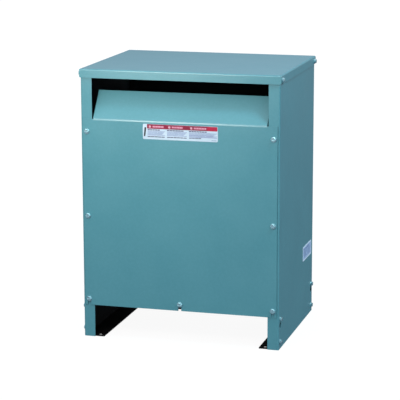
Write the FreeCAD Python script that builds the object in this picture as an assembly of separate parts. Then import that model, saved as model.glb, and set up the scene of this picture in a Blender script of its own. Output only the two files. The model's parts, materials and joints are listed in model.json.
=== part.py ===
import FreeCAD, Part
import math
import os

from FreeCAD import Rotation, Vector

# Ventilated dry-type distribution transformer in a floor-standing sheet-metal enclosure.
# Millimetres. The origin is on the floor under the middle of the enclosure; +X is to the
# right when facing the front cover, +Y towards the rear and +Z up.

# How far a cutter passes beyond the faces it cuts
OVERRUN = 1.0

# Enclosure
WIDTH = 508.0
DEPTH = 392.0
HEIGHT = 686.0
SHEET = 1.5
BEND = 1.5
SIDE_FLANGE = 28.75
FIT_GAP = 0.8

# Top cover, an inverted pan
LID_OVERHANG_X = 2.5
LID_OVERHANG_Y = 3.5
LID_FLANGE = 22.2
LID_BEND = 2.5
LID_CORNER_SLIT = 0.6
LID_CORNER_RADIUS = 4.0
LID_SEAT_GAP = 1.0

# Front and rear covers, each with an air deflector folded inwards along its top
COVER_WIDTH = 497.0
COVER_BOTTOM = 83.5
COVER_BEND = 561.0
COVER_BEND_RADIUS = 8.0
DEFLECTOR_WIDTH = 444.0
DEFLECTOR_REACH = 49.0
DEFLECTOR_RISE = 66.5

# Slotted hexagon washer-head screws
SCREW_RADIUS = 3.2
SCREW_LENGTH = 14.0
WASHER_RADIUS = 6.9
WASHER_THICKNESS = 1.2
SCREW_HEX = 9.5
SCREW_HEAD = 4.0
SCREW_SLOT_WIDTH = 1.6
SCREW_SLOT_DEPTH = 1.3
HEAD_STANDOFF = 0.2
THREAD_HOLE = 3.3
CLEARANCE_HOLE = 3.9

# Plain bolts and nuts: heights as shares of the thread's diameter
BOLT_HEAD_SHARE = 0.65
NUT_SHARE = 0.8

# Screw places
COVER_SCREW_X = 238.7
COVER_SCREW_LOW = 100.0
COVER_SCREW_PITCH = 215.0
LID_SCREW_Y = 184.0
LID_SCREW_Z = 673.5
SIDE_SCREW_Y = 180.0
SIDE_SCREW_LOW = 18.5
SIDE_SCREW_HIGH = 76.5
KEYHOLE_DROP = 16.5
KEYHOLE_RADIUS = 7.2

# Base frame
RAIL_SHEET = 3.0
RAIL_BEND = 3.0
RAIL_HEIGHT = 86.0
FOOT_FLANGE = 51.5
RAIL_TOP_FLANGE = 40.0
RAIL_LENGTH = 385.0
MOUNT_X = 216.0
MOUNT_Y = 179.5
MOUNT_HOLE_RADIUS = 6.35
CHANNEL_SHEET = 2.0
CHANNEL_HEIGHT = 46.0
CHANNEL_FLANGE = 24.0
CHANNEL_LENGTH = 498.0
SUPPORT_HEIGHT = 28.0
SUPPORT_WIDTH = 60.0
SUPPORT_LENGTH = 480.0
SUPPORT_Y = 75.0

# Core: three legs joined by two yokes, stacked from steel laminations
PAD_HEIGHT = 12.0
PAD_SIZE = 38.0
PAD_X = 165.0
PAD_CORNER = 6.0
LEG_WIDTH = 64.0
CORE_STACK = 90.0
LEG_PITCH = 150.0
WINDOW_HEIGHT = 210.0
YOKE_HEIGHT = 64.0
CLAMP_SHEET = 4.0
CLAMP_HEIGHT = 60.0
CLAMP_FLANGE = 50.0
CLAMP_LENGTH = 404.0
CLAMP_BOLT_X = 191.0
CLAMP_BOLT_RADIUS = 5.0
CLAMP_BOLT_HEX = 16.0
CLAMP_BOLT_THREAD = 14.0
ISOLATION_BOLT_RADIUS = 4.0
ISOLATION_BOLT_HEX = 13.0
ISOLATION_BOLT_THREAD = 10.0

# Coils: tube, low-voltage winding, air duct and high-voltage winding on each leg
COIL_END_GAP = 7.0
TUBE_END_GAP = 0.5
TUBE_GAP = 2.0
TUBE_WALL = 3.0
LOW_WINDING = 11.0
AIR_DUCT = 8.0
HIGH_WINDING = 17.0
TUBE_CORNER = 3.0
COIL_BLOCK_X = 45.0
COIL_BLOCK = 18.0
SPACER_X = 26.0
SPACER_Y = 38.0
SPACER_END_GAP = 2.0

# Terminals
BOARD_WIDTH = 404.0
BOARD_HEIGHT = 88.0
BOARD_THICKNESS = 6.0
BOARD_FACE_Y = -119.0
BOARD_BOTTOM = 482.0
BRACKET_X = 192.5
BRACKET_WIDTH = 18.0
BRACKET_SHEET = 3.0
BRACKET_FOOT = 10.0
BAR_WIDTH = 25.0
BAR_THICKNESS = 4.0
BAR_BEND = 4.0
BAR_TOP_GAP = 6.0
BAR_LOW_KNEE = 18.0
BAR_HIGH_KNEE = 42.0
BAR_HOLE = 4.5
FIELD_HOLE = 5.5
FIELD_HOLE_Z = 552.0
BAR_BOLT_Z = 500.0
BAR_BOLT_THREAD = 4.0
NEUTRAL_X = 75.0
NEUTRAL_TOP = 604.0
NEUTRAL_HOLE_Z = 588.0
NEUTRAL_LINK_Z = (517.0, 535.0)
RISER_WIDTH = 16.0
RISER_OFFSET = 24.5
RISER_HIGH_KNEE = 36.0
TERMINAL_BOLT_HEX = 14.0
LEAD_RADIUS = 4.5
LEAD_BENDS = (11.0, 26.0, 26.0)
LEAD_OFFSET = -25.0
LEAD_START_Z = 372.0
LEAD_STANDOFF = 18.0
LEAD_LOW_KNEE = 26.0
LEAD_HIGH_KNEE = 66.0
LEAD_LUG_WIDTH = 14.0
LEAD_LUG_THICKNESS = 3.0
LEAD_LUG_LAP = 6.0
STUD_Z = 532.0
STUD_RADIUS = 3.2
STUD_HEX = 10.0
STUD_CLEARANCE = 2.0
TAP_COUNT = 5
TAP_PITCH = 26.0
TAP_LENGTH = 20.0
TAP_WIDTH = 14.0
TAP_THICKNESS = 2.5
TAP_HOLE = 3.3

# Earthing
STRAP_WIDTH = 14.0
STRAP_THICKNESS = 2.0
STRAP_X = -75.0
STRAP_BEND = 6.0
STRAP_LAP = 14.0
STRAP_OVERHANG = 8.0
STRAP_SEAT = 24.0
LUG_X = 150.0
LUG_SIZE = (16.0, 17.0, 20.0)
LUG_BORE = 4.5
LUG_SCREW_HEX = 8.0
LUG_SCREW_HEIGHT = 5.0

# Labels
LABEL_THICKNESS = 0.3
LABEL_CORNER = 3.0
FRONT_LABEL_X = (-92.5, 99.0)
FRONT_LABEL_Z = (516.8, 554.8)
SIDE_LABEL_Y = (76.0, 178.0)
SIDE_LABEL_Z = (160.5, 199.0)

# Levels and planes that follow from the sizes above
FRONT_Y = -DEPTH / 2
SIDE_X = WIDTH / 2
COVER_FACE_Y = FRONT_Y - FIT_GAP - SHEET
LID_BOTTOM = HEIGHT - LID_FLANGE
LID_UNDERSIDE = HEIGHT - SHEET
SUPPORT_TOP = RAIL_HEIGHT + SUPPORT_HEIGHT
CORE_BASE = SUPPORT_TOP + PAD_HEIGHT
WINDOW_BOTTOM = CORE_BASE + YOKE_HEIGHT
WINDOW_TOP = WINDOW_BOTTOM + WINDOW_HEIGHT
CORE_TOP = WINDOW_TOP + YOKE_HEIGHT
COIL_BOTTOM = WINDOW_BOTTOM + COIL_END_GAP
COIL_TOP = WINDOW_TOP - COIL_END_GAP
CORE_WIDTH = 2 * LEG_PITCH + LEG_WIDTH
LEGS = {"left": -LEG_PITCH, "centre": 0.0, "right": LEG_PITCH}
SIDES = {"left": -1, "right": 1}
ENDS = {"front": -1, "rear": 1}


def box(x_span, y_span, z_span):
    size = [high - low for low, high in (x_span, y_span, z_span)]
    return Part.makeBox(*size, Vector(x_span[0], y_span[0], z_span[0]))


def mirrored_x(shape):
    return shape.mirror(Vector(0, 0, 0), Vector(1, 0, 0))


def mirrored_y(shape):
    return shape.mirror(Vector(0, 0, 0), Vector(0, 1, 0))


def for_side(shape, side):
    """A shape made for the right-hand side, on either side."""
    return shape if side > 0 else mirrored_x(shape)


def for_end(shape, end):
    """A shape made for the front, on the front or the rear."""
    return shape if end < 0 else mirrored_y(shape)


def cylinder(radius, start, axis, length):
    return Part.makeCylinder(radius, length, start, axis)


def placed(shape, position, axis):
    """A shape made along +Z, turned to point along an axis."""
    copy = shape.copy()
    copy.Placement = FreeCAD.Placement(position, Rotation(Vector(0, 0, 1), axis))
    return copy


def hexagon(across_flats, height):
    corner = across_flats / math.sqrt(3)
    angles = [math.radians(60 * step) for step in range(7)]
    points = [Vector(corner * math.cos(a), corner * math.sin(a), 0) for a in angles]
    prism = Part.Face(Part.makePolygon(points)).extrude(Vector(0, 0, height))
    crown = Part.makeCone(corner + height, across_flats / 2, height)
    return prism.common(crown)


def corner_arc(corner, before, after, radius):
    """The start, middle and end of the arc that rounds a corner between two directions."""
    turn = before.getAngle(after)
    inwards = (after - before).normalize()
    tangent = radius * math.tan(turn / 2)
    middle = corner + inwards * (radius / math.cos(turn / 2) - radius)
    return corner - before * tangent, middle, corner + after * tangent


def rounded_edges(points, radii):
    """Straight runs through the points, with an arc of the given radius at each inner point."""
    edges = []
    here = points[0]
    for index, radius in enumerate(radii, start=1):
        before = (points[index] - points[index - 1]).normalize()
        after = (points[index + 1] - points[index]).normalize()
        start, middle, end = corner_arc(points[index], before, after, radius)
        edges.append(Part.LineSegment(here, start).toShape())
        edges.append(Part.Arc(start, middle, end).toShape())
        here = end
    edges.append(Part.LineSegment(here, points[-1]).toShape())
    return edges


def folded_sheet(path, thickness, inner_radius, plane, start, length):
    """A strip folded along a path of (a, b) points, with its thickness on the path's left.

    plane names the two axes that a and b run along; the strip is as wide as length, from
    start along the third axis."""
    runs = [(q[0] - p[0], q[1] - p[1]) for p, q in zip(path, path[1:])]
    runs = [(a / math.hypot(a, b), b / math.hypot(a, b)) for a, b in runs]
    far_side = [(path[0][0] - runs[0][1] * thickness, path[0][1] + runs[0][0] * thickness)]
    near_radii = []
    far_radii = []
    for point, (a, b), (c, d) in zip(path[1:], runs, runs[1:]):
        sine = a * d - b * c
        slip = thickness * (a * c + b * d - 1) / sine
        far_side.append((point[0] - b * thickness + a * slip, point[1] + a * thickness + b * slip))
        outer = inner_radius + thickness
        near_radii.append(outer if sine > 0 else inner_radius)
        far_radii.append(inner_radius if sine > 0 else outer)
    end = path[-1]
    far_side.append((end[0] - runs[-1][1] * thickness, end[1] + runs[-1][0] * thickness))

    def to_space(point):
        values = dict(zip(plane, point))
        return Vector(*[values.get(axis, start) for axis in "XYZ"])

    near = [to_space(point) for point in path]
    far = [to_space(point) for point in reversed(far_side)]
    edges = rounded_edges(near, near_radii)
    edges.append(Part.LineSegment(near[-1], far[0]).toShape())
    edges += rounded_edges(far, list(reversed(far_radii)))
    edges.append(Part.LineSegment(far[-1], near[0]).toShape())
    across = Vector(*[0 if axis in plane else length for axis in "XYZ"])
    return Part.Face(Part.Wire(edges)).extrude(across)


def rounded_block(x_span, y_span, z_span, radius):
    """A block with its four upright edges rounded."""
    block = box(x_span, y_span, z_span)
    upright = [
        edge
        for edge in block.Edges
        if abs(edge.Vertexes[0].Z - edge.Vertexes[1].Z) > (z_span[1] - z_span[0]) / 2
    ]
    return block.makeFillet(radius, upright)


def top_edges_rounded(block, radius):
    top = block.BoundBox.ZMax
    return block.makeFillet(radius, [e for e in block.Edges if min(v.Z for v in e.Vertexes) > top - radius])


def ring(centre_x, inner, outer, inner_radius, outer_radius, z_span):
    """A rounded rectangular tube standing round a leg; inner and outer are half sizes."""
    spans = [
        ((centre_x - half_x, centre_x + half_x), (-half_y, half_y)) for half_x, half_y in (inner, outer)
    ]
    hole = rounded_block(*spans[0], (z_span[0] - OVERRUN, z_span[1] + OVERRUN), inner_radius)
    return rounded_block(*spans[1], z_span, outer_radius).cut(hole)


def cover_screw(grip):
    """A slotted hexagon washer-head screw along +Z, its head above z = 0."""
    head = cylinder(WASHER_RADIUS, Vector(0, 0, HEAD_STANDOFF), Vector(0, 0, 1), WASHER_THICKNESS)
    hexagonal = hexagon(SCREW_HEX, SCREW_HEAD)
    hexagonal.translate(Vector(0, 0, HEAD_STANDOFF + WASHER_THICKNESS))
    shank = cylinder(SCREW_RADIUS, Vector(0, 0, -grip), Vector(0, 0, 1), grip + HEAD_STANDOFF)
    top = HEAD_STANDOFF + WASHER_THICKNESS + SCREW_HEAD
    half = SCREW_SLOT_WIDTH / 2
    slot = box((-SCREW_HEX, SCREW_HEX), (-half, half), (top - SCREW_SLOT_DEPTH, top + OVERRUN))
    return head.fuse([hexagonal, shank]).cut(slot).removeSplitter()


def hex_bolt(radius, across_flats, grip):
    """A plain hexagon-head bolt along +Z, its head above z = 0."""
    head = hexagon(across_flats, BOLT_HEAD_SHARE * 2 * radius)
    shank = cylinder(radius, Vector(0, 0, -grip), Vector(0, 0, 1), grip)
    return head.fuse(shank).removeSplitter()


def hex_nut(radius, across_flats):
    height = NUT_SHARE * 2 * radius
    start = Vector(0, 0, -OVERRUN)
    return hexagon(across_flats, height).cut(cylinder(radius, start, Vector(0, 0, 1), height + 2 * OVERRUN))


def open_notch(radius, centre, axis, depth, drop):
    """A cutter for a round-topped notch that runs down from a screw to an open edge."""
    hole = cylinder(radius, centre, axis, depth)
    end = centre + axis * depth
    spans = [sorted((centre[i], end[i])) for i in (0, 1)]
    for span in spans:
        if span[0] == span[1]:
            span[0] -= radius
            span[1] += radius
    return hole.fuse(box(*spans, (centre.z - drop, centre.z)))


def top_cover():
    half_x = SIDE_X + LID_OVERHANG_X
    half_y = DEPTH / 2 + LID_OVERHANG_Y
    shell = box((-half_x, half_x), (-half_y, half_y), (LID_BOTTOM, HEIGHT))
    inside = box(
        (SHEET - half_x, half_x - SHEET),
        (SHEET - half_y, half_y - SHEET),
        (LID_BOTTOM - OVERRUN, LID_UNDERSIDE),
    )
    pan = top_edges_rounded(shell, LID_BEND + SHEET).cut(top_edges_rounded(inside, LID_BEND))
    wall_x = half_x - SHEET - OVERRUN
    for side in SIDES.values():
        for end in ENDS.values():
            centre = Vector(side * wall_x, end * LID_SCREW_Y, LID_SCREW_Z)
            axis = Vector(side, 0, 0)
            pan = pan.cut(open_notch(CLEARANCE_HOLE, centre, axis, SHEET + 2 * OVERRUN, LID_FLANGE))
            slit_y = sorted((end * (half_y - SHEET), end * (half_y - SHEET - LID_CORNER_SLIT)))
            slit_x = sorted((side * wall_x, side * (half_x + OVERRUN)))
            pan = pan.cut(box(slit_x, slit_y, (LID_BOTTOM - OVERRUN, LID_UNDERSIDE - LID_BEND)))
            corner_y = sorted((centre.y, end * (half_y + OVERRUN)))
            pan = pan.cut(lid_corner_cutter(side * half_x, side, corner_y))
    return pan


def lid_corner_cutter(corner_x, side, y_span):
    """What is cut away to round a lower corner of the top cover's rim."""
    middle_x = corner_x - side * LID_CORNER_RADIUS
    middle_z = LID_BOTTOM + LID_CORNER_RADIUS
    x_span = sorted((middle_x, corner_x + side * OVERRUN))
    corner = box(x_span, y_span, (LID_BOTTOM - OVERRUN, middle_z))
    start = Vector(middle_x, y_span[0], middle_z)
    return corner.cut(cylinder(LID_CORNER_RADIUS, start, Vector(0, 1, 0), y_span[1] - y_span[0]))


def cover_screw_places():
    """(x, z) of the seven screws of a cover, and whether each sits in an open notch."""
    places = []
    for row in range(3):
        for side in SIDES.values():
            places.append((side * COVER_SCREW_X, COVER_SCREW_LOW + row * COVER_SCREW_PITCH, row == 0))
    places.append((0.0, COVER_SCREW_LOW, True))
    return places


def cover(end):
    """The front cover, or its twin on the rear: a flat sheet with a deflector folded inwards."""
    half = DEFLECTOR_WIDTH / 2
    path = [
        (COVER_FACE_Y + DEFLECTOR_REACH, COVER_BEND + DEFLECTOR_RISE),
        (COVER_FACE_Y, COVER_BEND),
        (COVER_FACE_Y, COVER_BOTTOM),
    ]
    sheet = folded_sheet(path, SHEET, COVER_BEND_RADIUS, "YZ", -half, DEFLECTOR_WIDTH)
    y_span = (COVER_FACE_Y, COVER_FACE_Y + SHEET)
    ear = box((half, COVER_WIDTH / 2), y_span, (COVER_BOTTOM, COVER_BEND))
    sheet = sheet.fuse([ear, mirrored_x(ear)]).removeSplitter()
    inwards = Vector(0, 1, 0)
    for x, z, notched in cover_screw_places():
        start = Vector(x, COVER_FACE_Y - OVERRUN, z)
        if notched:
            drop = z - COVER_BOTTOM + OVERRUN
            cutter = open_notch(CLEARANCE_HOLE, start, inwards, SHEET + 2 * OVERRUN, drop)
        else:
            cutter = cylinder(CLEARANCE_HOLE, start, inwards, SHEET + 2 * OVERRUN)
        sheet = sheet.cut(cutter)
    return for_end(sheet, end)


def cover_screws(end):
    screw = cover_screw(SCREW_LENGTH)
    out = Vector(0, end, 0)
    face_y = end * abs(COVER_FACE_Y)
    return [placed(screw, Vector(x, face_y, z), out) for x, z, _ in cover_screw_places()]


def side_panel(side):
    """A side panel with full-height front and rear return flanges that reach the floor."""
    inner_x = SIDE_X - SIDE_FLANGE
    path = [(inner_x, FRONT_Y), (SIDE_X, FRONT_Y), (SIDE_X, -FRONT_Y), (inner_x, -FRONT_Y)]
    panel = folded_sheet(path, SHEET, BEND, "XY", 0.0, LID_UNDERSIDE - LID_SEAT_GAP)
    start_x = SIDE_X - SHEET - OVERRUN
    outwards = Vector(1, 0, 0)
    depth = SHEET + 2 * OVERRUN
    for end in ENDS.values():
        y = end * SIDE_SCREW_Y
        entry_z = SIDE_SCREW_HIGH - KEYHOLE_DROP
        neck = (y - CLEARANCE_HOLE, y + CLEARANCE_HOLE)
        cutters = [
            cylinder(CLEARANCE_HOLE, Vector(start_x, y, SIDE_SCREW_LOW), outwards, depth),
            cylinder(CLEARANCE_HOLE, Vector(start_x, y, SIDE_SCREW_HIGH), outwards, depth),
            cylinder(KEYHOLE_RADIUS, Vector(start_x, y, entry_z), outwards, depth),
            box((start_x, start_x + depth), neck, (entry_z, SIDE_SCREW_HIGH)),
            cylinder(THREAD_HOLE, Vector(start_x, end * LID_SCREW_Y, LID_SCREW_Z), outwards, depth),
        ]
        face_y = end * (DEPTH / 2 - SHEET - OVERRUN)
        for x, z, _ in cover_screw_places():
            if x > 0:
                cutters.append(cylinder(THREAD_HOLE, Vector(x, face_y, z), Vector(0, end, 0), depth))
        panel = panel.cut(cutters)
    return for_side(panel, side)


def top_cover_screws():
    screw = cover_screw(SCREW_LENGTH)
    return [
        placed(
            screw,
            Vector(side * (SIDE_X + LID_OVERHANG_X), end * LID_SCREW_Y, LID_SCREW_Z),
            Vector(side, 0, 0),
        )
        for side in SIDES.values()
        for end in ENDS.values()
    ]


def side_panel_screws():
    screw = cover_screw(SCREW_LENGTH)
    return [
        placed(screw, Vector(side * SIDE_X, end * SIDE_SCREW_Y, z), Vector(side, 0, 0))
        for side in SIDES.values()
        for end in ENDS.values()
        for z in (SIDE_SCREW_LOW, SIDE_SCREW_HIGH)
    ]


def base_rail(side):
    """A channel open to the inside, whose bottom flange is the foot bolted to the floor."""
    web_x = SIDE_X - SHEET
    path = [
        (SIDE_X - FOOT_FLANGE, 0.0),
        (web_x, 0.0),
        (web_x, RAIL_HEIGHT),
        (web_x - RAIL_TOP_FLANGE, RAIL_HEIGHT),
    ]
    rail = folded_sheet(path, RAIL_SHEET, RAIL_BEND, "XZ", -RAIL_LENGTH / 2, RAIL_LENGTH)
    start_x = web_x - RAIL_SHEET - OVERRUN
    through = RAIL_SHEET + 2 * OVERRUN
    for end in ENDS.values():
        for z in (SIDE_SCREW_LOW, SIDE_SCREW_HIGH):
            start = Vector(start_x, end * SIDE_SCREW_Y, z)
            rail = rail.cut(cylinder(THREAD_HOLE, start, Vector(1, 0, 0), through))
        start = Vector(MOUNT_X, end * MOUNT_Y, -OVERRUN)
        rail = rail.cut(cylinder(MOUNT_HOLE_RADIUS, start, Vector(0, 0, 1), through))
    return for_side(rail, side)


def base_channel(end):
    """The cross member behind the foot of a cover, which takes its screws."""
    web_y = FRONT_Y + SHEET
    top = RAIL_HEIGHT + CHANNEL_HEIGHT
    path = [
        (web_y + CHANNEL_FLANGE, top),
        (web_y, top),
        (web_y, RAIL_HEIGHT),
        (web_y + CHANNEL_FLANGE, RAIL_HEIGHT),
    ]
    start_x = -CHANNEL_LENGTH / 2
    channel = folded_sheet(path, CHANNEL_SHEET, CHANNEL_SHEET, "YZ", start_x, CHANNEL_LENGTH)
    for x, z, low in cover_screw_places():
        if low:
            start = Vector(x, web_y - OVERRUN, z)
            depth = CHANNEL_SHEET + 2 * OVERRUN
            channel = channel.cut(cylinder(THREAD_HOLE, start, Vector(0, 1, 0), depth))
    return for_end(channel, end)


def core_support(end):
    """The channel, open downwards, that carries two of the vibration pads across the rails."""
    near = -SUPPORT_Y + SUPPORT_WIDTH / 2
    far = -SUPPORT_Y - SUPPORT_WIDTH / 2
    path = [(near, RAIL_HEIGHT), (near, SUPPORT_TOP), (far, SUPPORT_TOP), (far, RAIL_HEIGHT)]
    start_x = -SUPPORT_LENGTH / 2
    support = folded_sheet(path, RAIL_SHEET, RAIL_BEND, "YZ", start_x, SUPPORT_LENGTH)
    for side in SIDES.values():
        start = Vector(side * PAD_X, -SUPPORT_Y, SUPPORT_TOP - RAIL_SHEET - OVERRUN)
        depth = RAIL_SHEET + 2 * OVERRUN
        support = support.cut(cylinder(ISOLATION_BOLT_RADIUS, start, Vector(0, 0, 1), depth))
    return for_end(support, end)


def vibration_pad(side, end):
    x = side * PAD_X
    y = end * SUPPORT_Y
    half = PAD_SIZE / 2
    z_span = (SUPPORT_TOP, CORE_BASE)
    pad = rounded_block((x - half, x + half), (y - half, y + half), z_span, PAD_CORNER)
    start = Vector(x, y, SUPPORT_TOP - OVERRUN)
    return pad.cut(cylinder(ISOLATION_BOLT_RADIUS, start, Vector(0, 0, 1), PAD_HEIGHT + 2 * OVERRUN))


def isolation_places(z):
    return [Vector(side * PAD_X, end * SUPPORT_Y, z) for side in SIDES.values() for end in ENDS.values()]


def isolation_bolts():
    grip = CLAMP_SHEET + PAD_HEIGHT + RAIL_SHEET + ISOLATION_BOLT_THREAD
    bolt = hex_bolt(ISOLATION_BOLT_RADIUS, ISOLATION_BOLT_HEX, grip)
    return [placed(bolt, p, Vector(0, 0, 1)) for p in isolation_places(CORE_BASE + CLAMP_SHEET)]


def isolation_nuts():
    nut = hex_nut(ISOLATION_BOLT_RADIUS, ISOLATION_BOLT_HEX)
    return [placed(nut, p, Vector(0, 0, -1)) for p in isolation_places(SUPPORT_TOP - RAIL_SHEET)]


def yoke(bottom):
    half_x = CORE_WIDTH / 2
    return box((-half_x, half_x), (-CORE_STACK / 2, CORE_STACK / 2), (bottom, bottom + YOKE_HEIGHT))


def core_leg(centre_x):
    x_span = (centre_x - LEG_WIDTH / 2, centre_x + LEG_WIDTH / 2)
    return box(x_span, (-CORE_STACK / 2, CORE_STACK / 2), (WINDOW_BOTTOM, WINDOW_TOP))


def clamp(end, upper):
    """An angle pressed on the core's face, with its flange at the core's top or bottom."""
    inner_y = -CORE_STACK / 2
    flange_z, web_z = (CORE_TOP, CORE_TOP - CLAMP_HEIGHT) if upper else (CORE_BASE, CORE_BASE + CLAMP_HEIGHT)
    corner = (inner_y, flange_z)
    tip = (inner_y - CLAMP_FLANGE, flange_z)
    web_end = (inner_y, web_z)
    path = [web_end, corner, tip] if upper else [tip, corner, web_end]
    angle = folded_sheet(path, CLAMP_SHEET, CLAMP_SHEET, "YZ", -CLAMP_LENGTH / 2, CLAMP_LENGTH)
    through = CLAMP_SHEET + 2 * OVERRUN
    for side in SIDES.values():
        start = Vector(side * CLAMP_BOLT_X, inner_y + OVERRUN, clamp_bolt_level(upper))
        angle = angle.cut(cylinder(CLAMP_BOLT_RADIUS, start, Vector(0, -1, 0), through))
        if not upper:
            start = Vector(side * PAD_X, -SUPPORT_Y, CORE_BASE - OVERRUN)
            angle = angle.cut(cylinder(ISOLATION_BOLT_RADIUS, start, Vector(0, 0, 1), through))
    return for_end(angle, end)


def clamp_bolt_level(upper):
    return (WINDOW_TOP + CORE_TOP) / 2 if upper else (CORE_BASE + WINDOW_BOTTOM) / 2


def clamp_bolt_places(y):
    return [
        Vector(side * CLAMP_BOLT_X, y, clamp_bolt_level(upper))
        for side in SIDES.values()
        for upper in (False, True)
    ]


def clamp_bolts():
    face = CORE_STACK / 2 + CLAMP_SHEET
    bolt = hex_bolt(CLAMP_BOLT_RADIUS, CLAMP_BOLT_HEX, 2 * face + CLAMP_BOLT_THREAD)
    return [placed(bolt, p, Vector(0, -1, 0)) for p in clamp_bolt_places(-face)]


def clamp_nuts():
    nut = hex_nut(CLAMP_BOLT_RADIUS, CLAMP_BOLT_HEX)
    return [placed(nut, p, Vector(0, 1, 0)) for p in clamp_bolt_places(CORE_STACK / 2 + CLAMP_SHEET)]


def coil_layers():
    """(half x, half y) of every boundary between a coil's layers, from the tube outwards."""
    half = (LEG_WIDTH / 2 + TUBE_GAP, CORE_STACK / 2 + TUBE_GAP)
    layers = [half]
    for layer in (TUBE_WALL, LOW_WINDING, AIR_DUCT, HIGH_WINDING):
        half = (half[0] + layer, half[1] + layer)
        layers.append(half)
    return layers


def coil_layer(centre_x, index, end_margin):
    layers = coil_layers()
    radii = [TUBE_CORNER + half[0] - layers[0][0] for half in layers]
    z_span = (COIL_BOTTOM + end_margin, COIL_TOP - end_margin)
    inner, outer = layers[index], layers[index + 1]
    return ring(centre_x, inner, outer, radii[index], radii[index + 1], z_span)


def duct_spacers():
    """Upright sticks that keep the air duct open between the two windings of each coil."""
    inner, outer = coil_layers()[2:4]
    z_span = (COIL_BOTTOM + SPACER_END_GAP, COIL_TOP - SPACER_END_GAP)
    half = AIR_DUCT / 2
    sticks = []
    for centre_x in LEGS.values():
        for side in SIDES.values():
            for end in ENDS.values():
                x = centre_x + side * SPACER_X
                y_span = sorted((end * inner[1], end * outer[1]))
                sticks.append(box((x - half, x + half), y_span, z_span))
                x_span = sorted((centre_x + side * inner[0], centre_x + side * outer[0]))
                y = end * SPACER_Y
                sticks.append(box(x_span, (y - half, y + half), z_span))
    return sticks


def coil_blocks():
    """Insulating blocks that hold each coil between the flanges of the clamps."""
    inner, outer = coil_layers()[3:5]
    middle_y = (inner[1] + outer[1]) / 2
    half = COIL_BLOCK / 2
    spans = [(CORE_BASE + CLAMP_SHEET, COIL_BOTTOM), (COIL_TOP, CORE_TOP - CLAMP_SHEET)]
    blocks = []
    for centre_x in LEGS.values():
        for side in SIDES.values():
            for end in ENDS.values():
                x = centre_x + side * COIL_BLOCK_X
                y = end * middle_y
                blocks += [box((x - half, x + half), (y - half, y + half), z_span) for z_span in spans]
    return blocks


def bar_bolt_xs():
    return list(LEGS.values()) + [NEUTRAL_X]


def board_hole(shape, x, z, radius):
    """A hole through everything on the terminal board, front to back."""
    start = Vector(x, BOARD_FACE_Y - 3 * BAR_THICKNESS, z)
    return shape.cut(cylinder(radius, start, Vector(0, 1, 0), BOARD_THICKNESS + 6 * BAR_THICKNESS))


def terminal_board():
    y_span = (BOARD_FACE_Y, BOARD_FACE_Y + BOARD_THICKNESS)
    half = BOARD_WIDTH / 2
    board = box((-half, half), y_span, (BOARD_BOTTOM, BOARD_BOTTOM + BOARD_HEIGHT))
    for x in bar_bolt_xs():
        board = board_hole(board, x, BAR_BOLT_Z, BAR_HOLE)
    for x in LEGS.values():
        board = board_hole(board, x, FIELD_HOLE_Z, FIELD_HOLE)
        board = board_hole(board, x + LEAD_OFFSET, STUD_Z, STUD_RADIUS)
    return board


def board_bracket(side):
    """A strip that stands on the upper front clamp and carries one end of the board."""
    back = BOARD_FACE_Y + BOARD_THICKNESS
    foot_y = -CORE_STACK / 2 - BRACKET_FOOT
    path = [(back, BOARD_BOTTOM + BOARD_HEIGHT), (back, CORE_TOP), (foot_y, CORE_TOP)]
    start_x = BRACKET_X - BRACKET_WIDTH / 2
    strip = folded_sheet(path, BRACKET_SHEET, BRACKET_SHEET, "YZ", start_x, BRACKET_WIDTH)
    return for_side(strip, side)


def low_voltage_bar(centre_x):
    """The flat bar that leads from a low-voltage winding to the front of the board."""
    inner, outer = coil_layers()[1:3]
    start_y = -(inner[1] + outer[1] + BAR_THICKNESS) / 2
    front_y = BOARD_FACE_Y - BAR_THICKNESS
    path = [
        (front_y, BOARD_BOTTOM + BOARD_HEIGHT - BAR_TOP_GAP),
        (front_y, COIL_TOP + BAR_HIGH_KNEE),
        (start_y, COIL_TOP + BAR_LOW_KNEE),
        (start_y, COIL_TOP),
    ]
    bar = folded_sheet(path, BAR_THICKNESS, BAR_BEND, "YZ", centre_x - BAR_WIDTH / 2, BAR_WIDTH)
    bar = board_hole(bar, centre_x, BAR_BOLT_Z, BAR_HOLE)
    return board_hole(bar, centre_x, FIELD_HOLE_Z, FIELD_HOLE)


def neutral_bar():
    """The star-point link behind the board: three risers, a cross bar and a terminal tab."""
    inner, outer = coil_layers()[1:3]
    start_y = -(inner[1] + outer[1] + BAR_THICKNESS) / 2
    link_y = BOARD_FACE_Y + BOARD_THICKNESS
    link_span = (link_y, link_y + BAR_THICKNESS)
    path = [
        (link_y, NEUTRAL_LINK_Z[1]),
        (link_y, COIL_TOP + RISER_HIGH_KNEE),
        (start_y, COIL_TOP + BAR_LOW_KNEE),
        (start_y, COIL_TOP),
    ]
    half = RISER_WIDTH / 2
    risers = [
        folded_sheet(path, BAR_THICKNESS, BAR_BEND, "YZ", centre_x + RISER_OFFSET - half, RISER_WIDTH)
        for centre_x in LEGS.values()
    ]
    link_x = (RISER_OFFSET - LEG_PITCH - half, RISER_OFFSET + LEG_PITCH + half)
    link = box(link_x, link_span, NEUTRAL_LINK_Z)
    tab_x = (NEUTRAL_X - BAR_WIDTH / 2, NEUTRAL_X + BAR_WIDTH / 2)
    tab = box(tab_x, link_span, (BAR_BOLT_Z - BAR_WIDTH / 2, NEUTRAL_TOP))
    bar = link.fuse([tab] + risers).removeSplitter()
    bar = board_hole(bar, NEUTRAL_X, BAR_BOLT_Z, BAR_HOLE)
    bar = board_hole(bar, NEUTRAL_X, NEUTRAL_HOLE_Z, FIELD_HOLE)
    for x in LEGS.values():
        bar = board_hole(bar, x + LEAD_OFFSET, STUD_Z, STUD_RADIUS + STUD_CLEARANCE)
    return bar


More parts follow.
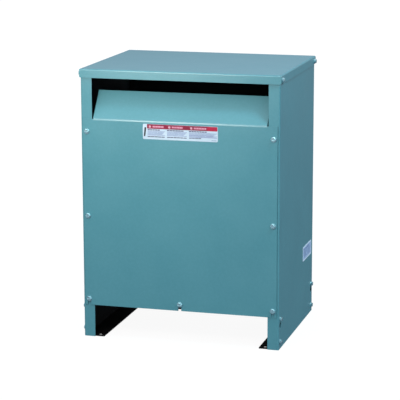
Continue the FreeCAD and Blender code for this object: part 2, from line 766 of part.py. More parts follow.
def terminal_bolts():
    """Bolts that hold the bars to the board; the neutral's head bears on the board itself."""
    grip = BOARD_THICKNESS + 2 * BAR_THICKNESS + BAR_BOLT_THREAD
    bolt = hex_bolt(BAR_HOLE, TERMINAL_BOLT_HEX, grip)
    bolts = []
    for x in bar_bolt_xs():
        y = BOARD_FACE_Y if x == NEUTRAL_X else BOARD_FACE_Y - BAR_THICKNESS
        bolts.append(placed(bolt, Vector(x, y, BAR_BOLT_Z), Vector(0, -1, 0)))
    return bolts


def high_voltage_studs():
    """The small bolts that hold the lugs of the high-voltage leads to the board."""
    stud = hex_bolt(STUD_RADIUS, STUD_HEX, BOARD_THICKNESS + LEAD_LUG_THICKNESS)
    face_y = BOARD_FACE_Y - LEAD_LUG_THICKNESS
    return [
        placed(stud, Vector(x + LEAD_OFFSET, face_y, STUD_Z), Vector(0, -1, 0)) for x in LEGS.values()
    ]


def high_voltage_lead(centre_x):
    """The insulated lead from the face of a high-voltage winding to its lug on the board."""
    coil_face = -coil_layers()[4][1]
    x = centre_x + LEAD_OFFSET
    low_y = coil_face - LEAD_STANDOFF
    high_y = BOARD_FACE_Y - LEAD_RADIUS
    lead_end = STUD_Z - LEAD_LUG_WIDTH
    points = [
        Vector(x, coil_face, LEAD_START_Z),
        Vector(x, low_y, LEAD_START_Z),
        Vector(x, low_y, COIL_TOP + LEAD_LOW_KNEE),
        Vector(x, high_y, COIL_TOP + LEAD_HIGH_KNEE),
        Vector(x, high_y, lead_end),
    ]
    route = Part.Wire(rounded_edges(points, LEAD_BENDS))
    section = Part.Wire(Part.makeCircle(LEAD_RADIUS, points[0], Vector(0, -1, 0)))
    lead = route.makePipeShell([section], True, True)
    half = LEAD_LUG_WIDTH / 2
    y_span = (BOARD_FACE_Y - LEAD_LUG_THICKNESS, BOARD_FACE_Y)
    lug = box((x - half, x + half), y_span, (lead_end - LEAD_LUG_LAP, STUD_Z + half))
    return board_hole(lead.fuse(lug), x, STUD_Z, STUD_RADIUS)


def tap_terminals():
    """Drilled tabs in a column on the face of each high-voltage winding."""
    coil_face = -coil_layers()[4][1]
    middle_z = (COIL_BOTTOM + COIL_TOP) / 2
    tabs = []
    for centre_x in LEGS.values():
        for step in range(TAP_COUNT):
            z = middle_z + (step - (TAP_COUNT - 1) / 2) * TAP_PITCH
            x = centre_x + TAP_WIDTH
            x_span = (x - TAP_WIDTH / 2, x + TAP_WIDTH / 2)
            z_span = (z - TAP_THICKNESS / 2, z + TAP_THICKNESS / 2)
            tab = box(x_span, (coil_face - TAP_LENGTH, coil_face), z_span)
            start = Vector(x, coil_face - TAP_LENGTH + TAP_WIDTH / 2, z - TAP_THICKNESS)
            tabs.append(tab.cut(cylinder(TAP_HOLE, start, Vector(0, 0, 1), 2 * TAP_THICKNESS)))
    return tabs


def ground_strap():
    """The bonding strap from the lower front clamp to the front base channel."""
    clamp_z = CORE_BASE + CLAMP_SHEET
    channel_z = RAIL_HEIGHT + CHANNEL_SHEET
    channel_y = FRONT_Y + SHEET + CHANNEL_FLANGE
    path = [
        (channel_y - STRAP_LAP, channel_z),
        (channel_y + STRAP_LAP, channel_z),
        (-CORE_STACK / 2 - CLAMP_FLANGE - STRAP_OVERHANG, clamp_z),
        (-CORE_STACK / 2 - STRAP_SEAT, clamp_z),
    ]
    start_x = STRAP_X - STRAP_WIDTH / 2
    return folded_sheet(path, STRAP_THICKNESS, STRAP_BEND, "YZ", start_x, STRAP_WIDTH)


def ground_lug():
    """A mechanical lug on the front base channel, with its wire hole facing inwards."""
    size_x, size_y, size_z = LUG_SIZE
    back_y = FRONT_Y + SHEET + CHANNEL_FLANGE
    bottom = RAIL_HEIGHT + CHANNEL_SHEET
    x_span = (LUG_X - size_x / 2, LUG_X + size_x / 2)
    body = box(x_span, (back_y - size_y, back_y), (bottom, bottom + size_z))
    start = Vector(LUG_X, back_y - size_y - OVERRUN, bottom + size_z / 2)
    body = body.cut(cylinder(LUG_BORE, start, Vector(0, 1, 0), size_y + 2 * OVERRUN))
    screw = hexagon(LUG_SCREW_HEX, LUG_SCREW_HEIGHT)
    screw.translate(Vector(LUG_X, back_y - size_y / 2, bottom + size_z))
    return body.fuse(screw).removeSplitter()


def label(across_span, z_span):
    """A thin plate with rounded corners, standing with its face towards -Y."""
    width = across_span[1] - across_span[0]
    height = z_span[1] - z_span[0]
    plate = rounded_block((0, width), (0, height), (0, LABEL_THICKNESS), LABEL_CORNER)
    plate.rotate(Vector(0, 0, 0), Vector(1, 0, 0), 90)
    plate.translate(Vector(across_span[0], 0, z_span[0]))
    return plate


def front_label():
    plate = label(FRONT_LABEL_X, FRONT_LABEL_Z)
    plate.translate(Vector(0, COVER_FACE_Y, 0))
    return plate


def side_label():
    plate = label(SIDE_LABEL_Y, SIDE_LABEL_Z)
    plate.rotate(Vector(0, 0, 0), Vector(0, 0, 1), 90)
    plate.translate(Vector(SIDE_X, 0, 0))
    return plate


def build_nodes():
    nodes = {
        "top_cover": top_cover(),
        "top_cover_screws": top_cover_screws(),
        "side_panel_screws": side_panel_screws(),
        "isolation_bolts": isolation_bolts(),
        "isolation_nuts": isolation_nuts(),
        "core_bottom_yoke": yoke(CORE_BASE),
        "core_top_yoke": yoke(WINDOW_TOP),
        "clamp_bolts": clamp_bolts(),
        "clamp_nuts": clamp_nuts(),
        "duct_spacers": duct_spacers(),
        "coil_blocks": coil_blocks(),
        "terminal_board": terminal_board(),
        "neutral_bar": neutral_bar(),
        "terminal_bolts": terminal_bolts(),
        "high_voltage_studs": high_voltage_studs(),
        "tap_terminals": tap_terminals(),
        "ground_strap": ground_strap(),
        "ground_lug": ground_lug(),
        "front_label": front_label(),
        "side_label": side_label(),
    }
    for name, side in SIDES.items():
        nodes[f"{name}_side_panel"] = side_panel(side)
        nodes[f"{name}_base_rail"] = base_rail(side)
        nodes[f"{name}_board_bracket"] = board_bracket(side)
    for name, end in ENDS.items():
        nodes[f"{name}_cover"] = cover(end)
        nodes[f"{name}_cover_screws"] = cover_screws(end)
        nodes[f"{name}_base_channel"] = base_channel(end)
        nodes[f"{name}_core_support"] = core_support(end)
        nodes[f"lower_{name}_clamp"] = clamp(end, upper=False)
        nodes[f"upper_{name}_clamp"] = clamp(end, upper=True)
        for side_name, side in SIDES.items():
            nodes[f"{name}_{side_name}_vibration_pad"] = vibration_pad(side, end)
    for name, centre_x in LEGS.items():
        nodes[f"{name}_core_leg"] = core_leg(centre_x)
        nodes[f"{name}_winding_tube"] = coil_layer(centre_x, 0, TUBE_END_GAP - COIL_END_GAP)
        nodes[f"{name}_low_voltage_winding"] = coil_layer(centre_x, 1, 0.0)
        nodes[f"{name}_high_voltage_winding"] = coil_layer(centre_x, 3, 0.0)
        nodes[f"{name}_low_voltage_bar"] = low_voltage_bar(centre_x)
        nodes[f"{name}_high_voltage_lead"] = high_voltage_lead(centre_x)
    return nodes


def main():
    os.makedirs("parts", exist_ok=True)
    for name, shape in build_nodes().items():
        if isinstance(shape, list):
            shape = Part.makeCompound(shape)
        shape.exportStep(f"parts/{name}.step")


main()
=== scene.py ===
import json
import math

import bmesh
import bpy
from mathutils import Matrix, Vector


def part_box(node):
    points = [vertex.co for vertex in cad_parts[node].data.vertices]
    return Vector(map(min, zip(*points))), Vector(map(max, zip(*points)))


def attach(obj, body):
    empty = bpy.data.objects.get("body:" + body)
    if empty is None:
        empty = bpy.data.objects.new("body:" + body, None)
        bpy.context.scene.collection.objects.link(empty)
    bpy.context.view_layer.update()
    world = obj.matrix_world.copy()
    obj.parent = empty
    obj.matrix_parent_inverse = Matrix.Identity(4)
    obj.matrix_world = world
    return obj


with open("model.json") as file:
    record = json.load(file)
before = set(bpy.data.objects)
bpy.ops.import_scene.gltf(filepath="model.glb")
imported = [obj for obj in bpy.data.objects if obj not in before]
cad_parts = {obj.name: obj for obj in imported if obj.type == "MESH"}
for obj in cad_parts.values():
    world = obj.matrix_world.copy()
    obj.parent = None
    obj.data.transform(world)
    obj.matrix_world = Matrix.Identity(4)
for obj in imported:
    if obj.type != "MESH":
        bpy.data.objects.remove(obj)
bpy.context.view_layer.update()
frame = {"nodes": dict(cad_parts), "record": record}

# A ventilated dry-type transformer, in metres, in the frame of its CAD model: the origin is on the
# floor under its middle, +X to the right of the front cover, +Y to the rear and +Z up.

MM = 0.001

# Camera
CAMERA_PLACE = Vector((1.188, -4.241, 1.2554))
CAMERA_TARGET = Vector((0.0104, -0.0453, 0.3371))
CAMERA_ROLL = math.radians(-0.15)
CAMERA_LENS = 156.8
SENSOR_WIDTH = 36.0

# Lamps: place, target, size across and up, watts, spread in degrees, colour
LAMPS = {
    "front": ((-0.25, -0.97, 0.86), (-0.1, -0.2, 0.65), (0.3, 0.3), 2.9, 120.0, (1.0, 0.93, 0.82)),
    "right": ((1.3, -0.7, 2.2), (0.2, 0.0, 0.45), (0.35, 0.35), 9.5, 120.0, (0.5, 0.9, 1.0)),
    "strip": ((-0.35, -2.0, 1.9), (0.0, -0.2, 0.5), (1.2, 0.35), 4.8, 160.0, (1.0, 0.95, 1.0)),
}

# The room around the object: its colours, the heights in the view between which they meet, the
# side it is brightest on, and how much of that reaches the other side
ROOM_ABOVE = (1.34, 1.42, 1.56)
ROOM_BELOW = (0.24, 0.29, 0.36)
ROOM_MEETS = (-0.20, 0.12)
BRIGHT_SIDE = (0.6, -0.8, 0.0)
DIM_SHARE = 0.45

# Floor
FLOOR_SIZE = 60.0
FLOOR_GLOW = 0.93
FLOOR_TONES = ((0.045, 0.045, 0.045), (0.055, 0.055, 0.055))

# Powder coat, its colours as linear red, green and blue
TEAL = (0.043, 0.190, 0.225)
TEAL_LIGHT = (0.049, 0.204, 0.240)
TEAL_SPECK = (0.10, 0.30, 0.36)
# Level faces drift to this lighter, greyer tone: partly dust, partly a painted sheen that stands in
# for the glancing reflection on the lid's top
TOP_DUST_AND_SHEEN = (0.094, 0.206, 0.244)
# Painted shade: the inner faces are near-black, with slightly lighter dusty patches, to stand for
# the unlit inside of the cabinet
INSIDE_PAINTED_SHADE = (0.0015, 0.0045, 0.006)
INSIDE_DUSTY_SHADE = (0.003, 0.007, 0.009)
COAT_ROUGHNESS = (0.34, 0.40)
TOP_ROUGHER = 0.32
SLOPE_ROUGHER = 0.17
INSIDE_ROUGHER = 0.35
OUTSIDE_SPECULAR = 0.5
INSIDE_SPECULAR = 0.05

# How far up a face looks, from where it counts as sloping or as level to where it fully does
SLOPING = (0.45, 0.58)
LEVEL = (0.85, 0.99)

# Faces turned inwards count as the cabinet's inside, and take the painted shade, up to here, just
# short of the lid's outer faces
INSIDE_HALF_X = 0.2555
INSIDE_HALF_Y = 0.1985
UPWARD_SHARE = 0.2

# Each other surface's main tone, and the one that its patches drift to
RED_BOARD = ((0.26, 0.030, 0.018), (0.36, 0.050, 0.028))
TONES = {
    # Painted shade: the base rails and channels are near-black to stand for the shade under the
    # cabinet and behind the keyholes
    "base_paint": ((0.001, 0.001, 0.0012), (0.003, 0.003, 0.003)),
    "clamp_paint": ((0.020, 0.021, 0.023), (0.036, 0.037, 0.040)),
    # Zinc plate's pale grey, tinted teal as a painted reflection of the paint around the screws
    "zinc_screws": ((0.58, 0.84, 0.88), (0.36, 0.58, 0.62)),
    "plated_bolts": ((0.72, 0.66, 0.48), (0.50, 0.46, 0.36)),
    "pad_rubber": ((0.010, 0.010, 0.010), (0.024, 0.023, 0.022)),
    "core_steel": ((0.045, 0.040, 0.036), (0.085, 0.072, 0.060)),
    "winding_tube": ((0.30, 0.17, 0.07), (0.38, 0.23, 0.10)),
    "low_voltage_winding": ((0.34, 0.17, 0.06), (0.22, 0.10, 0.03)),
    "high_voltage_winding": ((0.24, 0.105, 0.035), (0.13, 0.05, 0.016)),
    "duct_spacers": ((0.52, 0.42, 0.20), (0.62, 0.52, 0.28)),
    "coil_blocks": RED_BOARD,
    "terminal_board": RED_BOARD,
    "bar_metal": ((0.78, 0.79, 0.80), (0.62, 0.63, 0.64)),
    "lead_sleeve": ((0.030, 0.030, 0.032), (0.006, 0.006, 0.007)),
    "bonding_strap": ((0.62, 0.42, 0.30), (0.20, 0.10, 0.06)),
    "front_label": ((0.43, 0.53, 0.60), (0.37, 0.47, 0.55)),
    "side_label": ((0.60, 0.72, 0.84), (0.54, 0.66, 0.79)),
    "label_crimson": ((0.205, 0.003, 0.030), (0.165, 0.002, 0.023)),
    "label_red": ((0.33, 0.005, 0.034), (0.28, 0.004, 0.028)),
    "label_pink": ((0.56, 0.26, 0.34), (0.50, 0.20, 0.28)),
    "label_pale": ((0.52, 0.28, 0.34), (0.46, 0.23, 0.29)),
    "label_slate": ((0.20, 0.25, 0.40), (0.16, 0.20, 0.33)),
    "label_dark": ((0.085, 0.085, 0.15), (0.055, 0.055, 0.10)),
    "label_black": ((0.010, 0.012, 0.014), (0.006, 0.007, 0.008)),
    "side_label_field": ((0.32, 0.46, 0.66), (0.27, 0.39, 0.58)),
    "side_label_ink": ((0.16, 0.24, 0.42), (0.12, 0.19, 0.34)),
}
SHEET_GAP = (0.012, 0.011, 0.010)

# Printed shapes
INK = 0.06 * MM
CORNER_STEPS = 3
WORD_GAP = 1.0


class Surface:
    """A Principled material, with short calls that add procedural nodes to it."""

    def __init__(self, name, roughness, metallic=0.0, **constants):
        self.material = bpy.data.materials.new(name)
        self.material.use_nodes = True
        self.tree = self.material.node_tree
        self.shader = self.tree.nodes["Principled BSDF"]
        self.shader.inputs["Roughness"].default_value = roughness
        self.shader.inputs["Metallic"].default_value = metallic
        for socket, value in constants.items():
            self.shader.inputs[socket.replace("_", " ")].default_value = value
        self.place = self.tree.nodes.new("ShaderNodeTexCoord")

    def node(self, kind, inputs=(), **settings):
        made = self.tree.nodes.new(f"ShaderNode{kind}")
        for name, value in settings.items():
            setattr(made, name, value)
        for socket, value in dict(inputs).items():
            if isinstance(value, bpy.types.NodeSocket):
                self.tree.links.new(value, made.inputs[socket])
            else:
                made.inputs[socket].default_value = value
        return made

    def stretched(self, stretch):
        """The object's coordinates, multiplied along each axis."""
        inputs = {"Vector": self.place.outputs["Object"], "Scale": stretch}
        return self.node("Mapping", inputs).outputs["Vector"]

    def noise(self, scale, detail=2.0, stretch=(1, 1, 1)):
        inputs = {"Vector": self.stretched(stretch), "Scale": scale, "Detail": detail}
        return self.node("TexNoise", inputs).outputs["Fac"]

    def waves(self, period, coordinates, direction, **inputs):
        """Smooth bands across a direction, one for each period in metres."""
        inputs |= {"Vector": coordinates, "Scale": math.pi / (10 * period)}
        return self.node("TexWave", inputs, bands_direction=direction).outputs["Fac"]

    def math(self, operation, first, second=0.0):
        return self.node("Math", {0: first, 1: second}, operation=operation).outputs[0]

    def vector_math(self, operation, first, second):
        return self.node("VectorMath", {0: first, 1: second}, operation=operation).outputs

    def span(self, value, low, high, from_low=0.0, from_high=1.0):
        """A value moved from one range to another, and kept inside it."""
        source = {"Value": value, "From Min": from_low, "From Max": from_high}
        inputs = {**source, "To Min": low, "To Max": high}
        return self.node("MapRange", inputs, clamp=True).outputs["Result"]

    def mix(self, factor, first, second):
        node = self.node("Mix", data_type="RGBA")
        for index, value in ((0, factor), (6, first), (7, second)):
            if isinstance(value, bpy.types.NodeSocket):
                self.tree.links.new(value, node.inputs[index])
            else:
                node.inputs[index].default_value = (*value, 1.0)
        return node.outputs[2]

    def blend(self, value, first, second, low, high, share=1.0):
        """The first tone up to a low value, and a share of the second from a high one."""
        return self.mix(self.span(value, 0.0, share, low, high), first, second)

    def into(self, name, socket):
        self.tree.links.new(socket, self.shader.inputs[name])

    def colour(self, socket):
        self.into("Base Color", socket)

    def sheen(self, value, smooth, rough):
        """Roughness that follows a noise."""
        self.into("Roughness", self.span(value, smooth, rough, 0.3, 0.7))

    def relief(self, height, distance, normal=None):
        """A bump as deep as distance, in metres, on top of an earlier one."""
        inputs = {"Height": height, "Distance": distance, "Strength": 1.0}
        if normal:
            inputs["Normal"] = normal
        bump = self.node("Bump", inputs).outputs["Normal"]
        self.into("Normal", bump)
        return bump


def darker(tone, share):
    return tuple(channel * share for channel in tone)


def inside_shade_mask(surface):
    """1 on the cabinet's inner faces, where the painted shade goes, and 0 on its outer ones, from
    place and facing alone.
    """
    point = surface.place.outputs["Object"]
    outwards = surface.vector_math("MULTIPLY", point, (1.0, 1.0, 0.0))[0]
    lifted = surface.vector_math("ADD", outwards, (0.0, 0.0, UPWARD_SHARE))[0]
    facing = surface.vector_math("DOT_PRODUCT", surface.place.outputs["Normal"], lifted)["Value"]
    turned_in = surface.math("LESS_THAN", facing, 0.0)
    parts = surface.node("SeparateXYZ", {0: point})
    within = [
        surface.math("LESS_THAN", surface.math("ABSOLUTE", parts.outputs[axis]), half)
        for axis, half in (("X", INSIDE_HALF_X), ("Y", INSIDE_HALF_Y))
    ]
    return surface.math("MULTIPLY", turned_in, surface.math("MULTIPLY", *within))


def powder_coat(name):
    """Blue-green powder coat: dust and painted sheen on top, rougher slopes, dusty painted shade
    inside.
    """
    paint = Surface(name, roughness=0.37, IOR=1.7)
    inside = inside_shade_mask(paint)
    upwards = paint.node("SeparateXYZ", {0: paint.place.outputs["Normal"]}).outputs["Z"]
    level = paint.span(upwards, 0.0, 1.0, *LEVEL)
    tone = paint.blend(paint.noise(7.0, 4.0), TEAL, TEAL_LIGHT, 0.3, 0.7)
    tone = paint.blend(paint.noise(160.0, 3.0), tone, TEAL_SPECK, 0.4, 0.7, share=0.10)
    # Painted shade on the inner faces: near-black, with dusty patches
    inner = paint.blend(paint.noise(30.0, 5.0), INSIDE_PAINTED_SHADE, INSIDE_DUSTY_SHADE, 0.45, 0.7)
    # Level faces drift towards a tone that is part dust, part painted sheen
    paint.colour(paint.mix(inside, paint.mix(level, tone, TOP_DUST_AND_SHEEN), inner))
    paint.into("Specular IOR Level", paint.span(inside, OUTSIDE_SPECULAR, INSIDE_SPECULAR))
    coat = paint.span(paint.noise(14.0, 3.0), *COAT_ROUGHNESS, 0.3, 0.7)
    slope = paint.span(upwards, 0.0, SLOPE_ROUGHER, *SLOPING)
    top = paint.math("MULTIPLY", level, TOP_ROUGHER)
    within = paint.math("MULTIPLY", inside, INSIDE_ROUGHER)
    rougher = paint.math("MAXIMUM", paint.math("MAXIMUM", slope, top), within)
    paint.into("Roughness", paint.math("ADD", coat, rougher))
    waviness = paint.relief(paint.noise(6.0, 1.0), 0.6 * MM)
    paint.relief(paint.noise(700.0, 1.0), 0.02 * MM, waviness)
    return paint.material


def speckled(name, scale, roughness, depth=0.02 * MM, stretch=(1, 1, 1), **constants):
    """A surface of two close tones broken up by noise, with a fine relief and varied sheen."""
    main, drift = TONES[name]
    surface = Surface(name, roughness, **constants)
    broad = surface.noise(scale / 12, 4.0, stretch)
    fine = surface.noise(scale, 3.0, stretch)
    tone = surface.blend(broad, main, drift, 0.35, 0.65)
    surface.colour(surface.blend(fine, tone, darker(main, 0.6), 0.5, 0.75, share=0.5))
    surface.sheen(fine, roughness - 0.08, roughness + 0.1)
    surface.relief(fine, depth)
    return surface.material


def laminations(name, pitch):
    """The edges of stacked core steel under thin dark varnish."""
    steel = Surface(name, roughness=0.4, metallic=0.4, Coat_Weight=0.35, Coat_Roughness=0.2)
    sheets = steel.waves(pitch, steel.place.outputs["Object"], "Y", Distortion=0.4)
    patches = steel.noise(22.0, 4.0)
    tone = steel.blend(patches, *TONES[name], 0.3, 0.7)
    steel.colour(steel.blend(sheets, tone, SHEET_GAP, 0.0, 1.0, share=0.6))
    steel.sheen(patches, 0.32, 0.55)
    steel.relief(sheets, 0.06 * MM)
    return steel.material


def winding(name, pitch):
    """Varnished layers of a winding, with a groove between turns."""
    main, drift = TONES[name]
    coil = Surface(name, roughness=0.35, Coat_Weight=0.6, Coat_Roughness=0.15)
    turns = coil.waves(pitch, coil.place.outputs["Object"], "Z", Distortion=0.6)
    runs = coil.noise(18.0, 5.0, stretch=(1, 1, 0.3))
    tone = coil.blend(runs, main, drift, 0.3, 0.7)
    coil.colour(coil.blend(turns, tone, darker(drift, 0.35), 0.6, 1.0, share=0.55))
    coil.sheen(runs, 0.28, 0.5)
    coil.relief(turns, 0.4 * MM)
    return coil.material


def plated(name, roughness):
    """Zinc or tin plate: metal with a cloudy film and fine scratches."""
    bright, dull = TONES[name]
    metal = Surface(name, roughness, metallic=1.0)
    cloud = metal.noise(180.0, 4.0)
    scratches = metal.noise(900.0, 2.0, stretch=(1, 1, 6))
    tone = metal.blend(cloud, bright, dull, 0.35, 0.7)
    metal.colour(metal.blend(scratches, tone, darker(dull, 0.6), 0.55, 0.75, share=0.25))
    metal.sheen(cloud, roughness - 0.07, roughness + 0.12)
    metal.relief(scratches, 0.01 * MM)
    return metal.material


def braided(name, pitch, metallic, roughness):
    """A woven braid or sleeve: two sets of strands crossing on the slant."""
    main, drift = TONES[name]
    braid = Surface(name, roughness, metallic)
    strands = []
    for side in (1, -1):
        slant = (0.0, side * math.radians(45), side * math.radians(20))
        inputs = {"Vector": braid.place.outputs["Object"], "Rotation": slant}
        strands.append(braid.waves(pitch, braid.node("Mapping", inputs).outputs["Vector"], "Z"))
    weave = braid.math("MAXIMUM", *strands)
    worn = braid.noise(60.0, 3.0)
    tone = braid.blend(worn, main, drift, 0.4, 0.7, share=0.4)
    braid.colour(braid.mix(braid.span(weave, 1.0, 0.0, 0.3, 0.9), tone, drift))
    braid.sheen(worn, roughness - 0.08, roughness + 0.1)
    braid.relief(weave, 0.3 * MM)
    return braid.material


def film(name):
    """A printed label's film: nearly even, drifting between two close tones, with a soft gloss."""
    paper = Surface(name, roughness=0.34, IOR=1.46)
    paper.colour(paper.blend(paper.noise(45.0, 4.0), *TONES[name], 0.35, 0.7))
    paper.sheen(paper.noise(220.0, 2.0), 0.30, 0.42)
    paper.relief(paper.noise(90.0, 2.0), 0.02 * MM)
    return paper.material


def build_materials():
    """The material of each slot in the record."""
    recipes = {
        "enclosure_paint": (powder_coat, {}),
        "base_paint": (speckled, dict(scale=300.0, roughness=0.75, Specular_IOR_Level=0.06)),
        "clamp_paint": (speckled, dict(scale=260.0, roughness=0.42)),
        "pad_rubber": (speckled, dict(scale=420.0, roughness=0.75, depth=0.08 * MM)),
        "winding_tube": (
            speckled, dict(scale=500.0, roughness=0.5, depth=0.04 * MM, stretch=(1, 1, 0.15))
        ),
        "duct_spacers": (
            speckled, dict(scale=700.0, roughness=0.4, depth=0.04 * MM, stretch=(1, 1, 0.05))
        ),
        "coil_blocks": (speckled, dict(scale=600.0, roughness=0.45)),
        "terminal_board": (speckled, dict(scale=420.0, roughness=0.38, stretch=(0.2, 1, 1))),
        "core_steel": (laminations, dict(pitch=0.9 * MM)),
        "low_voltage_winding": (winding, dict(pitch=6 * MM)),
        "high_voltage_winding": (winding, dict(pitch=9 * MM)),
        "zinc_screws": (plated, dict(roughness=0.24)),
        "plated_bolts": (plated, dict(roughness=0.30)),
        "bar_metal": (plated, dict(roughness=0.34)),
        "lead_sleeve": (braided, dict(pitch=1.8 * MM, metallic=0.0, roughness=0.6)),
        "bonding_strap": (braided, dict(pitch=1.4 * MM, metallic=0.9, roughness=0.42)),
        "front_label": (film, {}),
        "side_label": (film, {}),
    }
    return {name: recipe(name, **settings) for name, (recipe, settings) in recipes.items()}


def dress_nodes(materials):
    """Gives every CAD node the material of its slot in the record."""
    slots = {row["node"]: row["material_slot"] for row in frame["record"]["subparts"]}
    for name, node in frame["nodes"].items():
        node.data.materials.clear()
        node.data.materials.append(materials[slots[name]])


class LabelPrint:
    """Flat printed shapes on a label, drawn in millimetres from its lower left corner."""

    def __init__(self, corner, across, outwards, body, slot):
        self.corner = corner
        self.across = across
        self.outwards = outwards
        self.body = body
        self.slot = slot

    def sunk(self, x, y):
        """A point on the label, a layer of ink below its face."""
        point = self.corner + self.across * (x * MM) + Vector((0, 0, y * MM))
        return point - self.outwards * INK

    def draw(self, name, outlines, ink, layers=1.0):
        """Makes one piece of raised flat shapes, each a list of corners anticlockwise."""
        mesh = bmesh.new()
        for outline in outlines:
            face = mesh.faces.new([mesh.verts.new(self.sunk(x, y)) for x, y in outline])
            raised = bmesh.ops.extrude_face_region(mesh, geom=[face])
            verts = [v for v in raised["geom"] if isinstance(v, bmesh.types.BMVert)]
            bmesh.ops.translate(mesh, verts=verts, vec=self.outwards * ((1 + layers) * INK))
        bmesh.ops.recalc_face_normals(mesh, faces=mesh.faces)
        data = bpy.data.meshes.new(name)
        mesh.to_mesh(data)
        mesh.free()
        data.materials.append(film(ink))
        piece = bpy.data.objects.new(name, data)
        bpy.context.scene.collection.objects.link(piece)
        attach(piece, self.body)


def bar(left, right, bottom, top):
    return [(left, bottom), (right, bottom), (right, top), (left, top)]


def rounded_bar(left, right, bottom, top, radius):
    outline = []
    corners = ((right, bottom, 270), (right, top, 0), (left, top, 90), (left, bottom, 180))
    for x, y, start in corners:
        centre_x = x - radius if x == right else x + radius
        centre_y = y - radius if y == top else y + radius
        for step in range(CORNER_STEPS + 1):
            angle = math.radians(start + 90 / CORNER_STEPS * step)
            along, up = radius * math.cos(angle), radius * math.sin(angle)
            outline.append((centre_x + along, centre_y + up))
    return outline


def print_blocks(left, right, bottom, top, pitch, gap):
    """A row of short blocks that stands for a word or a heading."""
    count = round((right - left) / pitch)
    width = (right - left) / count
    starts = [left + i * width for i in range(count)]
    return [bar(start, start + width - gap, bottom, top) for start in starts]


def print_lines(left, right, bottom, top, pitch, height):
    """Rows of bars of uneven length that stand for lines of small print."""
    lines = []
    for row in range(int((top - bottom) / pitch)):
        base = top - row * pitch - height
        reach = right - (right - left) * 0.05 * ((row * 5) % 4)
        split = left + (reach - left) * (0.3 + 0.1 * ((row * 3) % 5))
        lines.append(bar(left, split - WORD_GAP / 2, base, base + height))
        lines.append(bar(split + WORD_GAP / 2, reach, base, base + height))
    return lines


def front_label_print():
    """A coloured band with marks and titles over three columns of small print."""
    low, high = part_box("front_label")
    width = (high.x - low.x) / MM
    top = (high.z - low.z) / MM
    sheet = LabelPrint(low, Vector((1, 0, 0)), Vector((0, -1, 0)), "front_cover", "front_label")
    columns = ((12.3, 57.0), (62.2, 113.0), (118.3, width - 2.0))
    titles = ((25.3, 54.0), (74.6, 102.6), (130.6, 162.8))
    heading_ends = (44.5, 105.3, 164.2)
    foot = top - 11.6
    end = 165.0
    band = rounded_bar(10.9, end + 2.0, foot, top - 0.4, radius=0.4)
    band_end = rounded_bar(end, width - 0.9, foot, top - 0.6, radius=2.2)
    sheet.draw("label_band", [band], "label_crimson")
    sheet.draw("label_band_end", [band_end], "label_red", layers=1.5)
    mark = rounded_bar(3.2, 8.8, 2.4, 8.0, radius=1.6)
    marks = [[(left + x, foot + y) for x, y in mark] for left, right in columns]
    sheet.draw("label_band_marks", marks, "label_pale", layers=2)
    words = []
    for left, right in titles:
        words += print_blocks(left, right, foot + 3.4, foot + 7.6, pitch=4.0, gap=0.7)
    sheet.draw("label_titles", words, "label_pink", layers=2)
    third = columns[2][0]
    headings = []
    for (left, right), heading_end in zip(columns, heading_ends):
        headings += print_blocks(left, heading_end, foot - 3.9, foot - 1.4, pitch=7.0, gap=0.8)
    for left, right in columns[:2]:
        headings += print_blocks(left, right, 5.6, 7.8, pitch=9.0, gap=0.7)
    headings += print_blocks(third, 150.0, 6.2, 8.0, pitch=8.0, gap=0.7)
    sheet.draw("label_headings", headings, "label_dark")
    lines = []
    for left, right in columns:
        lines += print_lines(left, right, 8.6, foot - 5.4, pitch=2.35, height=1.35)
    lines += [bar(third, width - 1.4, level, level + 0.8) for level in (9.2, 13.6)]
    lines += print_blocks(width - 16.0, width - 3.4, 2.6, 4.2, pitch=4.0, gap=0.5)
    sheet.draw("label_lines", lines, "label_slate")
    slanted_bar = [(2.6, 7.2), (6.2, 7.2), (9.0, 29.6), (4.4, 29.6)]
    sheet.draw("label_margin_mark", [slanted_bar], "label_black")


def side_label_print():
    """A pale blue field with a title over two columns of small print."""
    low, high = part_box("side_label")
    width = (high.y - low.y) / MM
    top = (high.z - low.z) / MM
    corner = Vector((high.x, low.y, low.z))
    across, outwards = Vector((0, 1, 0)), Vector((1, 0, 0))
    sheet = LabelPrint(corner, across, outwards, "frame_and_core", "side_label")
    field = rounded_bar(5.0, width - 5.0, 4.0, top - 4.0, radius=1.5)
    sheet.draw("side_label_field", [field], "side_label_field")
    lines = print_blocks(9.0, width - 30.0, top - 10.5, top - 7.0, pitch=7.0, gap=0.8)
    for left, right in ((9.0, width / 2 - 3.0), (width / 2 + 3.0, width - 9.0)):
        lines += print_lines(left, right, 6.0, top - 13.0, pitch=3.6, height=1.5)
    sheet.draw("side_label_lines", lines, "side_label_ink", layers=2)


def white_floor():
    floor = Surface("floor", roughness=0.9, Emission_Strength=FLOOR_GLOW)
    floor.shader.inputs["Emission Color"].default_value = (1.0, 1.0, 1.0, 1.0)
    floor.colour(floor.mix(floor.noise(3.0), *FLOOR_TONES))
    bpy.ops.mesh.primitive_plane_add(size=FLOOR_SIZE)
    plane = bpy.context.object
    plane.name = "floor"
    plane.data.materials.append(floor.material)
    plane.visible_diffuse = False
    plane.visible_glossy = False


def lamp(name, place, target, size, power, spread, colour):
    """A rectangular lamp, turned to its target and hidden from the camera."""
    data = bpy.data.lights.new(name, "AREA")
    data.shape = "RECTANGLE"
    data.size, data.size_y = size
    data.energy = power
    data.color = colour
    data.spread = math.radians(spread)
    light = bpy.data.objects.new(name, data)
    light.location = place
    towards = Vector(target) - Vector(place)
    light.rotation_euler = towards.to_track_quat("-Z", "Y").to_euler()
    light.visible_camera = False
    bpy.context.scene.collection.objects.link(light)


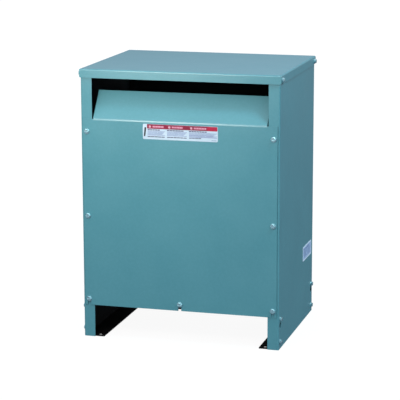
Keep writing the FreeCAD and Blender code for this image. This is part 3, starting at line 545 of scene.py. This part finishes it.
def sky():
    """A pale dome over a darker room, brightest towards the front right."""
    world = bpy.data.worlds.new("studio")
    world.use_nodes = True
    tree = world.node_tree

    def node(kind, *sockets, **settings):
        made = tree.nodes.new(f"ShaderNode{kind}")
        for name, value in settings.items():
            setattr(made, name, value)
        for socket, value in sockets:
            if isinstance(value, bpy.types.NodeSocket):
                tree.links.new(value, made.inputs[socket])
            else:
                made.inputs[socket].default_value = value
        return made.outputs

    direction = node("TexCoord")["Generated"]
    up = node("SeparateXYZ", (0, direction))["Z"]
    low, high = ROOM_MEETS
    rise = node("MapRange", ("Value", up), ("From Min", low), ("From Max", high))["Result"]
    colours = ((6, (*ROOM_BELOW, 1.0)), (7, (*ROOM_ABOVE, 1.0)))
    dome = node("Mix", (0, rise), *colours, data_type="RGBA")[2]
    side = node("VectorMath", (0, direction), (1, BRIGHT_SIDE), operation="DOT_PRODUCT")["Value"]
    share = node("MapRange", ("Value", side), ("From Min", -1.0), ("To Min", DIM_SHARE))["Result"]
    shade = node("MixRGB", (0, 1.0), (1, dome), (2, share), blend_type="MULTIPLY")[0]
    tree.links.new(shade, tree.nodes["Background"].inputs["Color"])
    bpy.context.scene.world = world


def studio():
    bpy.context.scene.view_settings.view_transform = "Standard"
    sky()
    for name, settings in LAMPS.items():
        lamp(name, *settings)


def camera():
    data = bpy.data.cameras.new("camera")
    data.lens = CAMERA_LENS
    data.sensor_width = SENSOR_WIDTH
    view = bpy.data.objects.new("camera", data)
    turn = (CAMERA_TARGET - CAMERA_PLACE).to_track_quat("-Z", "Y").to_matrix().to_4x4()
    roll = Matrix.Rotation(CAMERA_ROLL, 4, "Z")
    view.matrix_world = Matrix.Translation(CAMERA_PLACE) @ turn @ roll
    bpy.context.scene.collection.objects.link(view)
    bpy.context.scene.camera = view


def clear_defaults():
    """Removes what a new Blender file starts with."""
    for name in ("Cube", "Light", "Camera"):
        if name in bpy.data.objects:
            bpy.data.objects.remove(bpy.data.objects[name])


clear_defaults()
dress_nodes(build_materials())
front_label_print()
side_label_print()
white_floor()
studio()
camera()
